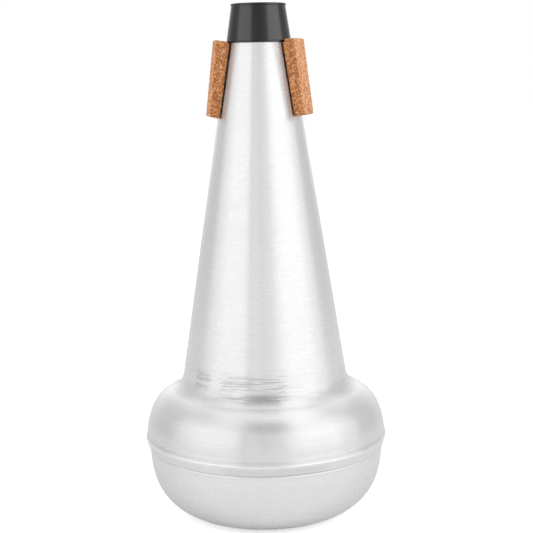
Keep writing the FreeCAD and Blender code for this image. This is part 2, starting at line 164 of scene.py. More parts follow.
def vector_of(tree, x, y, z):
    """A vector from its X, Y and Z."""
    return node(tree, "ShaderNodeCombineXYZ", {0: x, 1: y, 2: z}).outputs[0]


def noise(tree, where, scale, detail, roughness=0.5):
    """Noise, read at a place in space."""
    return node(tree, "ShaderNodeTexNoise", {"Vector": where, "Scale": scale, "Detail": detail,
                                             "Roughness": roughness}).outputs["Fac"]


def noise_along(tree, at, scale, detail, roughness=0.5):
    """Noise, read at a distance along a line."""
    return node(tree, "ShaderNodeTexNoise", {"W": at, "Scale": scale, "Detail": detail,
                                             "Roughness": roughness}, noise_dimensions="1D").outputs["Fac"]


def spread(tree, value, low, high, to_low=0.0, to_high=1.0, smooth=False):
    """Maps value from low..high to to_low..to_high, and holds it there."""
    made = node(tree, "ShaderNodeMapRange",
                {"Value": value, "From Min": low, "From Max": high, "To Min": to_low, "To Max": to_high},
                interpolation_type="SMOOTHSTEP" if smooth else "LINEAR")
    return made.outputs["Result"]


def blend_colours(tree, amount, first, second):
    """first where amount is 0, second where it is 1."""
    made = node(tree, "ShaderNodeMix", {0: amount, 6: first, 7: second}, data_type="RGBA")
    return made.outputs[2]


def ramp_of(tree, value, stops, interpolation="LINEAR"):
    """A colour ramp through stops, each a place from 0 to 1 and its colour."""
    made = node(tree, "ShaderNodeValToRGB", {0: value})
    made.color_ramp.interpolation = interpolation
    elements = made.color_ramp.elements
    while len(elements) < len(stops):
        elements.new(0.5)
    for element, (place, colour) in zip(elements, stops):
        element.position = place
        element.color = colour
    return made.outputs[0]


def new_piece(name, data):
    """An object for a mesh or a lamp, at the origin and in the scene."""
    piece = bpy.data.objects.new(name, data)
    bpy.context.scene.collection.objects.link(piece)
    return piece


# %% [markdown]
# The studio is plain: a white floor, two soft lamps and an even, pale surround. Metal has
# hardly any colour of its own and shows the room instead, so the room matters more here than
# it would for cork or plastic. In the photograph the metal shows two broad bright panels
# with a greyer gap between them, where the camera stands, and greyer walls at each side. A
# room with real panels could be built, but it would show in other views, and each change
# would move several objects. The surround is painted instead, by compass direction, as a few
# smooth bands at three heights. Overhead it is bright, except for a slot towards the camera,
# which is what darkens the waist and the shoulder. The camera itself sees plain white.

# %% Surround
AMBIENT = 0.72
LOW_BANDS = [(-180, 1.10), (-168, 0.98), (-150, 0.74), (-134, 0.62), (-112, 0.60), (-86, 0.92),
             (-66, 1.08), (-34, 1.08), (-28, 1.02), (-22.5, 0.70), (-18, 0.82), (-13, 0.84),
             (-2, 0.75), (6, 0.82), (16, 0.86), (24, 1.06), (36, 1.18), (70, 1.16), (90, 0.94),
             (112, 0.62), (134, 0.60), (150, 0.74), (168, 0.98), (180, 1.10)]
MIDDLE_BANDS = [(-180, 1.10), (-168, 0.98), (-150, 0.74), (-134, 0.63), (-112, 0.60), (-86, 0.90),
                (-66, 0.99), (-36, 0.98), (-28, 0.93), (-22.5, 0.70), (-18, 0.81), (-13, 0.82),
                (-2, 0.76), (6, 0.81), (16, 0.85), (24, 0.99), (36, 1.10), (70, 1.10), (90, 0.92),
                (112, 0.62), (134, 0.62), (150, 0.74), (168, 0.98), (180, 1.10)]
HIGH_BANDS = [(-180, 1.0), (-150, 0.86), (-112, 0.68), (-88, 0.72), (-60, 0.84), (-40, 0.81),
              (-25, 0.60), (-14, 0.43), (14, 0.43), (25, 0.58), (40, 0.94), (62, 1.02), (82, 0.96),
              (100, 0.80), (116, 0.70), (150, 0.92), (180, 1.0)]
MIDDLE_FROM = (math.sin(math.radians(19)), math.sin(math.radians(26)))
HIGH_FROM = (math.sin(math.radians(30)), math.sin(math.radians(46)))
OVERHEAD_FROM = (0.80, 0.92)
OVERHEAD_LEFT = 0.93
OVERHEAD_RIGHT = 1.10
OVERHEAD_TURN = 0.35
SLOT_SIDES = (0.14, 0.364)
SLOT_BACK = (0.50, 0.10)
SLOT_LEVEL = 0.38


def paint_bands(tree, compass, bands):
    """Brightness by compass direction, smooth from one band to the next."""
    turn = spread(tree, compass, -math.pi, math.pi)
    stops = [((degrees + 180) / 360, (level, level, level, 1)) for degrees, level in bands]
    return ramp_of(tree, turn, stops, "EASE")


def paint_surround(tree):
    """The brightness of the room by direction, as metal shows it."""
    to_right, to_back, height = parts_of(tree, node(tree, "ShaderNodeTexCoord").outputs["Generated"])
    to_front = times(tree, to_back, -1.0)
    compass = maths(tree, "ARCTAN2", to_right, to_front)
    room = paint_bands(tree, compass, LOW_BANDS)
    for start, bands in ((MIDDLE_FROM, MIDDLE_BANDS), (HIGH_FROM, HIGH_BANDS)):
        upper = paint_bands(tree, compass, bands)
        room = blend_colours(tree, spread(tree, height, *start, smooth=True), room, upper)
    beside = spread(tree, maths(tree, "ABSOLUTE", to_right), *SLOT_SIDES, smooth=True)
    behind = spread(tree, to_front, *SLOT_BACK, smooth=True)
    sky = spread(tree, to_right, -OVERHEAD_TURN, OVERHEAD_TURN, OVERHEAD_LEFT, OVERHEAD_RIGHT,
                 smooth=True)
    above = spread(tree, maths(tree, "MAXIMUM", beside, behind), 0.0, 1.0, SLOT_LEVEL, sky)
    return blend_colours(tree, spread(tree, height, *OVERHEAD_FROM, smooth=True), room, above)


def make_world():
    """White for the camera, the painted room for metal, and an even light for the rest."""
    world = bpy.data.worlds.new("studio")
    world.use_nodes = True
    bpy.context.scene.world = world
    tree = world.node_tree
    tree.nodes.clear()
    rays = node(tree, "ShaderNodeLightPath").outputs
    room = node(tree, "ShaderNodeBackground", {0: paint_surround(tree), 1: 1.0}).outputs[0]
    white = node(tree, "ShaderNodeBackground", {0: (1, 1, 1, 1), 1: 1.0}).outputs[0]
    even = node(tree, "ShaderNodeBackground", {0: (1, 1, 1, 1), 1: AMBIENT}).outputs[0]
    mirrored = maths(tree, "MAXIMUM", rays["Is Glossy Ray"], rays["Is Transmission Ray"])
    lit = node(tree, "ShaderNodeMixShader", {0: mirrored, 1: even, 2: room}).outputs[0]
    whole = node(tree, "ShaderNodeMixShader", {0: rays["Is Camera Ray"], 1: lit, 2: white}).outputs[0]
    node(tree, "ShaderNodeOutputWorld", {0: whole})


make_world()
bpy.context.scene.view_settings.view_transform = "Standard"
print(f"surround with {len(LOW_BANDS)}, {len(MIDDLE_BANDS)} and {len(HIGH_BANDS)} bands at three heights")


# %% [markdown]
# The floor is a large white sheet. It has to look white to the camera and still keep the
# soft shadow under the mute, so it stays an ordinary matt surface, and only rays from the
# camera get a little added light from it. The two lamps stand left and right of the camera.
# They show in the gloss of the cap. A later cell keeps them off the metal, because the
# painted room already holds the metal's bright panels.

# %% Floor and lamps
FLOOR_SIZE = 6.0
FLOOR_GLOW = 0.55
FLOOR_WHITE = 0.78
LAMP_DISTANCE = 1.1
LAMP_RISE = 0.35
LAMP_WIDTH = 1.15
LAMP_HEIGHT = 1.2
LAMPS = (("left_lamp", -57, 6.3), ("right_lamp", 64, 8.5))


def make_floor():
    """A white floor through the base of the mute."""
    half = FLOOR_SIZE / 2
    sheet = bpy.data.meshes.new("studio_floor")
    sheet.from_pydata([(-half, -half, 0), (half, -half, 0), (half, half, 0), (-half, half, 0)], [],
                      [(0, 1, 2, 3)])
    paper = bpy.data.materials.new("white_paper")
    paper.use_nodes = True
    tree = paper.node_tree
    tree.nodes.clear()
    white = (FLOOR_WHITE, FLOOR_WHITE, FLOOR_WHITE, 1)
    matt = node(tree, "ShaderNodeBsdfDiffuse", {0: white}).outputs[0]
    for_camera = node(tree, "ShaderNodeLightPath").outputs["Is Camera Ray"]
    glow = node(tree, "ShaderNodeEmission", {1: times(tree, for_camera, FLOOR_GLOW)}).outputs[0]
    both = node(tree, "ShaderNodeAddShader", {0: matt, 1: glow}).outputs[0]
    node(tree, "ShaderNodeOutputMaterial", {0: both})
    sheet.materials.append(paper)
    floor = new_piece("studio_floor", sheet)


def make_lamp(name, compass, power):
    """A tall soft lamp that stands at a compass bearing from the camera and faces the mute."""
    data = bpy.data.lights.new(name, "AREA")
    data.shape = "RECTANGLE"
    data.size = LAMP_WIDTH
    data.size_y = LAMP_HEIGHT
    data.energy = power
    lamp = new_piece(name, data)
    bearing = math.radians(compass)
    target = Vector((0, 0, cap_top_z / 2 * MM))
    lamp.location = target + LAMP_DISTANCE * Vector((math.sin(bearing), -math.cos(bearing), LAMP_RISE))
    lamp.rotation_euler = (target - lamp.location).to_track_quat("-Z", "Y").to_euler()
    return lamp


make_floor()
lamps = [make_lamp(*lamp) for lamp in LAMPS]
print("floor and", len(lamps), "lamps")


# %% [markdown]
# A spun piece is one sheet pressed over a turning form, so its outline is a chain of
# straight stretches and rounds, and its wall is the same all along. The outline could be
# drawn point by point. It is worked out instead from each round's radius and from the angles
# at its two ends, measured between the sheet and the horizontal, so it keeps a smooth run
# where one round meets the next. Each point keeps its angle, which later says where the
# inner face lies.

# %% Outline helpers
ROW_STEP = 0.45
INNER_STEP = 8
EDGE_ROUND = 0.12


def place_on_round(radius, from_angle, to_angle):
    """How far a round moves outwards and upwards between two angles."""
    first, last = math.radians(from_angle), math.radians(to_angle)
    return radius * (math.sin(last) - math.sin(first)), radius * (math.cos(last) - math.cos(first))


def round_off(outline, radius, angle, hollow=False):
    """Adds a round from the outline's last angle to the one given."""
    r, z, first = outline[-1]
    side = -1 if hollow else 1
    count = max(3, math.ceil(radius * abs(math.radians(angle - first)) / ROW_STEP))
    for index in range(1, count + 1):
        now = first + (angle - first) * index / count
        out, up = place_on_round(side * radius, first, now)
        outline.append((r + out, z + up, now))


def run_to(outline, r, z):
    """Adds a straight stretch to a place, in short steps, at the outline's last angle."""
    start_r, start_z, angle = outline[-1]
    count = max(1, math.ceil(math.hypot(r - start_r, z - start_z) / ROW_STEP))
    for index in range(1, count + 1):
        share = index / count
        outline.append((start_r + (r - start_r) * share, start_z + (z - start_z) * share, angle))


def inner_face(outline, thickness):
    """The other face of the sheet, with fewer rows, from the end of the outline to its start."""
    moved = []
    for r, z, angle in outline:
        slope = math.radians(angle)
        moved.append((r - thickness * math.sin(slope), z - thickness * math.cos(slope)))
    rows = list(range(0, len(moved), INNER_STEP))
    if rows[-1] != len(moved) - 1:
        rows.append(len(moved) - 1)
    return [moved[row] for row in reversed(rows)]


# %% [markdown]
# The outline is turned about the axis by a tree of Geometry Nodes. A Screw modifier or
# bmesh.ops.spin would do it too. The tree is chosen because the same turn has to serve three
# pieces, and because the lathe leaves its marks in the same step: a spun sheet keeps shallow
# rings from the roller, which run round the piece, and slight hollows from the form under
# it. Both are real relief here. They only go inwards, so the piece stays in its box.
#
# The tree lays out a grid, reads the outline's point for each row, and swings each column
# round the axis by its share of a whole turn.

# %% The lathe tree
SEAM_MERGE = 1e-6
DENT_FLATNESS = 2.0


def new_tree(name, inputs):
    """A new tree of Geometry Nodes with named inputs, given with the sockets that they fill."""
    tree = bpy.data.node_groups.new(name, "GeometryNodeTree")
    for title, kind in inputs:
        tree.interface.new_socket(title, in_out="INPUT", socket_type=f"NodeSocket{kind}")
    tree.interface.new_socket("Piece", in_out="OUTPUT", socket_type="NodeSocketGeometry")
    return tree, node(tree, "NodeGroupInput").outputs


def end_tree(tree, piece, finish):
    """Ends a tree: the piece is shaded smooth, holds real faces and takes its finish."""
    piece = node(tree, "GeometryNodeSetShadeSmooth", {"Geometry": piece}).outputs[0]
    piece = node(tree, "GeometryNodeRealizeInstances", {0: piece}).outputs[0]
    piece = node(tree, "GeometryNodeSetMaterial", {"Geometry": piece, "Material": finish}).outputs[0]
    node(tree, "NodeGroupOutput", {0: piece})


def store(tree, piece, name, value, kind="FLOAT", domain="POINT"):
    """Writes a named value on the piece, for its material to read."""
    return node(tree, "GeometryNodeStoreNamedAttribute", {"Geometry": piece, "Name": name, "Value": value},
                data_type=kind, domain=domain).outputs[0]


def make_lathe():
    """Turns an outline, given as a row of points in the XZ plane, into a spun piece."""
    tree, given = new_tree("lathe", (("Outline", "Geometry"), ("Columns", "Int"), ("Ring Depth", "Float"),
                                     ("Ring Pitch", "Float"), ("Hollow Depth", "Float"),
                                     ("Hollow Size", "Float"), ("Finish", "Material")))
    outline = given["Outline"]
    count = node(tree, "GeometryNodeAttributeDomainSize", {0: outline},
                 component="MESH").outputs["Point Count"]
    rows = plus(tree, count, 1.0)
    columns = plus(tree, given["Columns"], 1.0)
    grid = node(tree, "GeometryNodeMeshGrid", {"Vertices X": columns, "Vertices Y": rows}).outputs
    index = node(tree, "GeometryNodeInputIndex").outputs[0]
    column = maths(tree, "FLOOR", maths(tree, "DIVIDE", plus(tree, index, 0.5), rows))
    row = minus(tree, index, times(tree, column, rows))
    wrapped = maths(tree, "FLOORED_MODULO", plus(tree, row, 0.25), count)
    point = maths(tree, "FLOOR", wrapped)

    def read(kind, value):
        """What the outline holds at this row. The last row meets the first."""
        return node(tree, "GeometryNodeSampleIndex", {"Geometry": outline, "Value": value, "Index": point},
                    data_type=kind, domain="POINT").outputs[0]

    def stored(kind, name):
        """A named value on the outline's points."""
        return node(tree, "GeometryNodeInputNamedAttribute", {"Name": name}, data_type=kind).outputs[0]

    place = parts_of(tree, read("FLOAT_VECTOR", node(tree, "GeometryNodeInputPosition").outputs[0]))
    facing = parts_of(tree, read("FLOAT_VECTOR", stored("FLOAT_VECTOR", "facing")))
    along = read("FLOAT", stored("FLOAT", "along"))
    turn = times(tree, maths(tree, "DIVIDE", column, given["Columns"]), 2 * math.pi)
    round_x = maths(tree, "SINE", turn)
    round_y = times(tree, maths(tree, "COSINE", turn), -1.0)

    rings = noise_along(tree, maths(tree, "DIVIDE", along, given["Ring Pitch"]), 1.0, 1.5, 0.55)
    spot = vector_of(tree, times(tree, round_x, place[0]), times(tree, round_y, place[0]),
                     times(tree, place[2], DENT_FLATNESS))
    size = given["Hollow Size"]
    dents = noise(tree, vectors(tree, "DIVIDE", spot, vector_of(tree, size, size, size)), 1.0, 1.0)
    cut = plus(tree, times(tree, rings, given["Ring Depth"]), times(tree, dents, given["Hollow Depth"]))

    radius = maths(tree, "MAXIMUM", minus(tree, place[0], times(tree, facing[0], cut)), 0.0)
    height = minus(tree, place[2], times(tree, facing[2], cut))
    turned = vector_of(tree, times(tree, round_x, radius), times(tree, round_y, radius), height)
    piece = node(tree, "GeometryNodeSetPosition", {0: grid["Mesh"], "Position": turned}).outputs[0]
    piece = store(tree, piece, "UVMap", grid["UV Map"], "FLOAT2", "CORNER")
    piece = store(tree, piece, "along", along)
    piece = node(tree, "GeometryNodeMergeByDistance", {"Geometry": piece,
                                                       "Distance": SEAM_MERGE}).outputs[0]
    end_tree(tree, piece, given["Finish"])
    return tree


lathe = make_lathe()
print("lathe tree with", len(lathe.nodes), "nodes")


# %% [markdown]
# The next helpers put an outline on the lathe. The outline is written as a mesh of loose
# points, each with the direction that it faces and its distance along the outline. The piece
# is given the modifier, and the result is baked into a plain mesh. A modifier's input is set
# by its socket's identifier, because two inputs could share a name.

# %% Turn an outline
AXIS_REACH = 1e-6
CORNER_ANGLE = math.radians(40)


def bake(piece, tree, sizes, others):
    """Gives the piece a tree, its sizes in millimetres and its other inputs, and keeps the mesh."""
    modifier = piece.modifiers.new(tree.name, "NODES")
    modifier.node_group = tree
    values = {name: size * MM for name, size in sizes.items()} | others
    for item in tree.interface.items_tree:
        if item.in_out == "INPUT" and item.name in values:
            modifier[item.identifier] = values[item.name]
    result = piece.evaluated_get(bpy.context.evaluated_depsgraph_get())
    mesh = bpy.data.meshes.new_from_object(result)
    piece.modifiers.remove(modifier)
    start = piece.data
    piece.data = mesh
    bpy.data.meshes.remove(start)
    mesh.name = piece.name
    print(piece.name, "has", sum(len(face.vertices) - 2 for face in mesh.polygons), "triangles")
    return piece


def soften(points):
    """Takes the sharpness off corners: each is replaced by three points close together."""
    kept = []
    for index, (r, z) in enumerate(points):
        before, after = Vector(points[index - 1]), Vector(points[(index + 1) % len(points)])
        here = Vector((r, z))
        into, out = here - before, after - here
        on_axis = r < AXIS_REACH
        if on_axis or min(into.length, out.length) < AXIS_REACH or into.angle(out) < CORNER_ANGLE:
            kept.append((r, z))
            continue
        back = here - into.normalized() * min(EDGE_ROUND, into.length / 2)
        on = here + out.normalized() * min(EDGE_ROUND, out.length / 2)
        middle = (back + on) / 4 + here / 2
        kept += [tuple(back), tuple(middle), tuple(on)]
    return kept


def spin(name, points, finish, columns=160, ring_depth=0.0, ring_pitch=1.0, hollow_depth=0.0,
         hollow_size=20.0):
    """A spun piece from a closed outline of (r, z) points, drawn with its outside on the right."""
    mesh = bpy.data.meshes.new(name)
    mesh.from_pydata([(r * MM, 0, z * MM) for r, z in points], [], [])
    facing, along, travelled = [], [], 0.0
    for index, (r, z) in enumerate(points):
        before, after = points[index - 1], points[(index + 1) % len(points)]
        out = Vector((after[1] - before[1], 0, before[0] - after[0]))
        if r < AXIS_REACH:
            out = Vector((0, 0, 1 if before[0] > r else -1))
        facing.extend(out.normalized())
        if index:
            travelled += math.hypot(r - before[0], z - before[1])
        along.append(travelled * MM)
    mesh.attributes.new("facing", "FLOAT_VECTOR", "POINT").data.foreach_set("vector", facing)
    mesh.attributes.new("along", "FLOAT", "POINT").data.foreach_set("value", along)
    sizes = {"Ring Depth": ring_depth, "Ring Pitch": ring_pitch, "Hollow Depth": hollow_depth,
             "Hollow Size": hollow_size}
    return bake(new_piece(name, mesh), lathe, sizes, {"Columns": columns, "Finish": finish})


# %% [markdown]
# Spun aluminium is bright and slightly satin. The roller and the polishing cloth leave fine
# lines that all run round the piece, so a highlight is drawn out across them. A picture of
# scratches would need a texture, and it would pinch at the poles. The lines come from noise
# instead. The noise is read at a place that hardly changes round the piece and changes fast
# along its outline, so each speck of noise becomes a long ring.
#
# The other helpers say where something is: between two heights, or on one side of the piece.
# Bearings are in degrees from the front, to the right.

# %% Patterns that run round a piece
SMALLEST_RADIUS = 1e-5


def new_finish(name):
    """An empty material and its tree, with a Principled shader wired to the output."""
    finish = bpy.data.materials.new(name)
    finish.use_nodes = True
    tree = finish.node_tree
    tree.nodes.clear()
    shader = node(tree, "ShaderNodeBsdfPrincipled")
    node(tree, "ShaderNodeOutputMaterial", {0: shader.outputs[0]})
    return finish, tree, shader


def wire(tree, shader, sources):
    """Links each source to the shader's socket of that name."""
    for socket, source in sources.items():
        tree.links.new(source, shader.inputs[socket])


def object_place(tree):
    """The place on the piece, in its own coordinates."""
    return node(tree, "ShaderNodeTexCoord").outputs["Object"]


def from_axis(tree):
    """The distance from the axis, never quite zero."""
    x, y, _ = parts_of(tree, object_place(tree))
    distance = vectors(tree, "LENGTH", vector_of(tree, x, y, 0.0))
    return maths(tree, "MAXIMUM", distance, SMALLEST_RADIUS)


def ring_noise(tree, around, pitch, detail, seed=0.0):
    """Noise drawn out round the axis: how often it changes in a turn, and its width along."""
    x, y, _ = parts_of(tree, object_place(tree))
    radius = from_axis(tree)
    along = node(tree, "ShaderNodeAttribute", attribute_name="along").outputs["Fac"]
    where = vector_of(tree, times(tree, maths(tree, "DIVIDE", x, radius), around),
                      times(tree, maths(tree, "DIVIDE", y, radius), around),
                      plus(tree, maths(tree, "DIVIDE", along, pitch * MM), seed))
    return noise(tree, where, 1.0, detail, 0.6)


def plateau(tree, value, rise_from, full_from, full_to, fall_to):
    """0 below rise_from, 1 between the two middle sizes, 0 above fall_to, in millimetres."""
    rises = spread(tree, value, rise_from * MM, full_from * MM, smooth=True)
    falls = spread(tree, value, full_to * MM, fall_to * MM, 1.0, 0.0, smooth=True)
    return times(tree, rises, falls)


def towards(tree, lines, bearing, full, none, jitter):
    """1 on the metal that faces a bearing, 0 from a wider angle off it. The edge is ragged."""
    angle = math.radians(bearing)
    compass = (math.sin(angle), -math.cos(angle), 0.0)
    facing = vectors(tree, "DOT_PRODUCT", object_place(tree), compass)
    aside = plus(tree, maths(tree, "DIVIDE", facing, from_axis(tree)),
                 spread(tree, lines, 0.3, 0.7, -jitter, jitter))
    return spread(tree, aside, math.cos(none), math.cos(full), smooth=True)


print("helpers for finishes")


# %% [markdown]
# Some places differ from the rest. In the hollow of the waist the roller stays longest, and
# on one side it leaves dull grooves. A small rub lies beside them. Low in the waist, at the
# front, a narrow dark patch is a painted dark reflection. The side of the dome, the front of
# the skirt and the crease are painted darker, as painted shade, and the bead below the crease
# is painted lighter, as a painted highlight. Beside each bar of cork the metal is made less
# metallic and is painted darker and a little pink, as painted shade and a painted reflection
# of the cork, so the places of the bars are named here already.
#
# Each place is a patch between two heights and, where it isn't all round, on one side. They
# could be painted by hand on the mesh. Written as rules they stay sharp at any distance and
# are easy to move.

# %% Marks of making and of use, and painted shade and highlights
WAIST_MARKS = (60.8, 63.0, 70.0, 77.0)
DWELL = {"bearing": -9.0, "full": 0.27, "none": 0.43, "jitter": 0.05}
RUB = {"bearing": -48.0, "full": 0.06, "none": 0.16, "jitter": 0.004}
RUB_FLOOR = (65.0, 66.3)
# Painted dark reflection: a narrow patch at the front, low in the waist.
WAIST_SHADE_FACING = {"bearing": -2.3, "full": 0.16, "none": 0.25, "jitter": 0.012}
WAIST_SHADE_BAND = (60.3, 61.7, 64.4, 66.2)
# Painted shade: a darker band round the side of the dome.
DOME_SHADE_BAND = (36.0, 40.0, 46.5, 53.0)
DOME_SHADE_SHARE = 0.30
# Painted shade: a darker patch on the front of the skirt.
SKIRT_SHADE_FACING = {"bearing": 3.0, "full": 0.28, "none": 0.50, "jitter": 0.02}
SKIRT_SHADE_BAND = (-0.3, 0.1, 3.3, 4.1)
SKIRT_SHADE_SHARE = 0.38
# Painted highlight: a lighter band on the bead.
BEAD_HIGHLIGHT_BAND = (4.2, 4.6, 5.3, 5.6)
# Painted shade in the crease.
CREASE_SHADE_BAND = (5.5, 6.0, 6.6, 7.3)
CREASE_SHADE_SHARE = 0.62
# Beside each bar: painted shade and a painted pinkish reflection of the cork, on metal made less metallic.
HAZE_ACROSS = (5.2, 5.8, 7.8, 10.5)
HAZE_BELOW_MOUTH = (37.0, 34.5, 1.0, -0.5)
STRIPS = {
    "left": {"angle": -81.0, "thickness": 6.1, "length": 34.7, "rise": 0.3, "top_cut": 0.0,
             "low_cut": 0.4},
    "right": {"angle": 65.5, "thickness": 5.7, "length": 34.4, "rise": 0.5, "top_cut": 0.6,
              "low_cut": 0.1},
    "back": {"angle": 172.25, "thickness": 5.9, "length": 34.5, "rise": 0.4, "top_cut": 0.3,
             "low_cut": 0.2},
}


def above_skirt(tree, height, band):
    """A band whose heights are counted from the edge of the skirt."""
    return plateau(tree, height, *(skirt_edge_z + rise for rise in band))


def beside_strips(tree, where, height):
    """1 on the metal close beside the strips, 0 elsewhere."""
    beside = 0.0
    for strip in STRIPS.values():
        turn = math.radians(strip["angle"] - 90)
        out = vectors(tree, "DOT_PRODUCT", where, (math.cos(turn), math.sin(turn), 0))
        across = vectors(tree, "DOT_PRODUCT", where, (-math.sin(turn), math.cos(turn), 0))
        near = plateau(tree, maths(tree, "ABSOLUTE", across), *HAZE_ACROSS)
        near = times(tree, near, maths(tree, "GREATER_THAN", out, 0.0))
        beside = maths(tree, "MAXIMUM", beside, near)
    return times(tree, beside, plateau(tree, height, *(mouth_z - below for below in HAZE_BELOW_MOUTH)))


def grooved_waist(tree, height, dashes):
    """Where the waist has grooves: on one side, in a rub beside it, and faintly in patches."""
    patches = ring_noise(tree, 2.2, 9.0, 2.0, seed=20.0)
    rub = times(tree, towards(tree, dashes, **RUB), spread(tree, height, *(at * MM for at in RUB_FLOOR)))
    dwell = maths(tree, "MAXIMUM", towards(tree, dashes, **DWELL),
                  spread(tree, patches, 0.45, 0.65, 0.03, 0.35, smooth=True), rub)
    return times(tree, plateau(tree, height, *WAIST_MARKS), dwell)


def dull_and_shaded(tree, height, dashes, grooves):
    """How dull the metal is, from 0 to 1: real grooves, with painted shade and a painted dark reflection in
    the same mask.
    """
    # Painted shade round the side of the dome.
    handled = times(tree, plateau(tree, height, *DOME_SHADE_BAND), DOME_SHADE_SHARE)
    # Painted shade in the crease.
    crease_shade = times(tree, above_skirt(tree, height, CREASE_SHADE_BAND), CREASE_SHADE_SHARE)
    # Painted dark reflection at the front of the waist.
    waist_shade = times(tree, towards(tree, dashes, **WAIST_SHADE_FACING), plateau(tree, height, *WAIST_SHADE_BAND))
    # Painted shade on the front of the skirt.
    skirt_shade = times(tree, towards(tree, dashes, **SKIRT_SHADE_FACING), above_skirt(tree, height, SKIRT_SHADE_BAND), SKIRT_SHADE_SHARE)
    return maths(tree, "MAXIMUM", grooves, handled, crease_shade, waist_shade, skirt_shade)


print("marks beside", len(STRIPS), "strips")


# %% [markdown]
# The finish brings these together. The rings and a slow cloudy noise make a tone, which
# drives the colour, the roughness and a very small bump, so that all three belong together.
# The lines run round the piece, so a highlight has to be drawn out across them: the shader is
# made anisotropic, and the piece's own UV map tells it which way the lines run.

# %% Spun aluminium
METAL = (0.93, 0.932, 0.936, 1)
METAL_SHADE = (0.892, 0.895, 0.899, 1)
# Colour of the dull grooves, also used for painted shade and painted dark reflection.
METAL_DULL_AND_SHADE = (0.66, 0.66, 0.665, 1)
# The colour of a painted highlight on the bead.
METAL_HIGHLIGHT = (0.97, 0.97, 0.972, 1)
# Painted shade and painted reflection of the cork beside the bars.
METAL_HAZE_SHADE = (0.74, 0.72, 0.72, 1)
HAZE_METALLIC = 0.25
SATIN = (0.32, 0.25)
BEAD_SHINE = 0.06
DRAWN_OUT = 0.80
ACROSS_THE_LINES = 0.25
FINE_FROM = (60.0, 90.0)
FINE_DEPTH = (0.0045, 0.0025)
GROOVE_DEPTH = 0.10


def make_aluminium():
    """Aluminium with rings from spinning and a satin polish."""
    finish, tree, shader = new_finish("spun_aluminium")
    where = object_place(tree)
    height = parts_of(tree, where)[2]
    dashes = ring_noise(tree, 7.0, 0.55, 2.0)
    lines = ring_noise(tree, 1.6, 0.45, 1.0, seed=40.0)
    chatter = ring_noise(tree, 2.4, 0.62, 1.5, seed=90.0)
    cloud = noise(tree, where, 60.0, 4.0, 0.6)
    soft_tone = plus(tree, times(tree, lines, 0.30), times(tree, cloud, 0.25))
    tone = plus(tree, times(tree, dashes, 0.45), soft_tone)

    waist = grooved_waist(tree, height, dashes)
    grooves = plus(tree, spread(tree, chatter, 0.40, 0.60, smooth=True),
                   spread(tree, dashes, 0.48, 0.66, 0.0, 0.6))
    grooves = times(tree, waist, maths(tree, "MINIMUM", grooves, 1.0))
    # Beside the bars: painted shade and painted reflection, and less metallic metal.
    haze_and_shade = times(tree, beside_strips(tree, where, height), spread(tree, cloud, 0.30, 0.60, 0.6, 1.0))
    # Painted highlight on the bead. Its roughness is lowered there too.
    bead_highlight = above_skirt(tree, height, BEAD_HIGHLIGHT_BAND)
    colour = blend_colours(tree, spread(tree, tone, 0.36, 0.62), METAL_SHADE, METAL)
    # Darkens the grooves, and paints shade and a dark reflection elsewhere.
    colour = blend_colours(tree, dull_and_shaded(tree, height, dashes, grooves), colour, METAL_DULL_AND_SHADE)
    colour = blend_colours(tree, haze_and_shade, colour, METAL_HAZE_SHADE)
    colour = blend_colours(tree, bead_highlight, colour, METAL_HIGHLIGHT)

    rough = minus(tree, spread(tree, tone, 0.3, 0.7, *SATIN), times(tree, bead_highlight, BEAD_SHINE))
    fine = spread(tree, height, *(at * MM for at in FINE_FROM), *(depth * MM for depth in FINE_DEPTH))
    relief = plus(tree, times(tree, tone, fine), times(tree, chatter, waist, GROOVE_DEPTH * MM))
    bump = node(tree, "ShaderNodeBump", {"Strength": 1.0, "Distance": 1.0, "Height": relief}).outputs[0]
    tangent = node(tree, "ShaderNodeTangent", direction_type="UV_MAP", uv_map="UVMap").outputs[0]
    shader.inputs["Anisotropic"].default_value = DRAWN_OUT
    shader.inputs["Anisotropic Rotation"].default_value = ACROSS_THE_LINES
    wire(tree, shader, {"Base Color": colour, "Metallic": spread(tree, haze_and_shade, 0.0, 1.0, 1.0, HAZE_METALLIC),
                        "Roughness": rough, "Normal": bump, "Tangent": tangent})
    return finish


aluminium = make_aluminium()
print("finish:", aluminium.name, "with", len(aluminium.node_tree.nodes), "nodes")


# %% [markdown]
# The body is cone, dome, bead and skirt in one sheet. The outline starts at the edge of the
# skirt, runs up and out over the bead, dips into a crease, and goes on over the side of the
# dome and its shoulder, through the hollow waist and up the cone to the mouth. Sizes are
# those of the CAD part. The crease is too small for rounds, so its points are given one by
# one, each as far inwards, as far upwards, and the angle there.

# %% Body
SHEET = 1.0
MOUTH_RADIUS = 14.4
CONE_LEAN = 8.95
BEAD_RISE = 4.5
BEAD_ROUND = 3.0
BEAD_TOP_ROUND = 1.2
SKIRT_ANGLE = 110.0
CREASE = ((0.05, 0.06, 62), (0.20, 0.13, 66), (0.20, 0.20, 70), (0.06, 0.33, 74))
CREASE_END = (64, 76)
BODY_ROUNDS = ((22.0, 84.6, True), (29.2, 65, False), (17.0, 21.5, False), (9.9, 90 - CONE_LEAN, True))


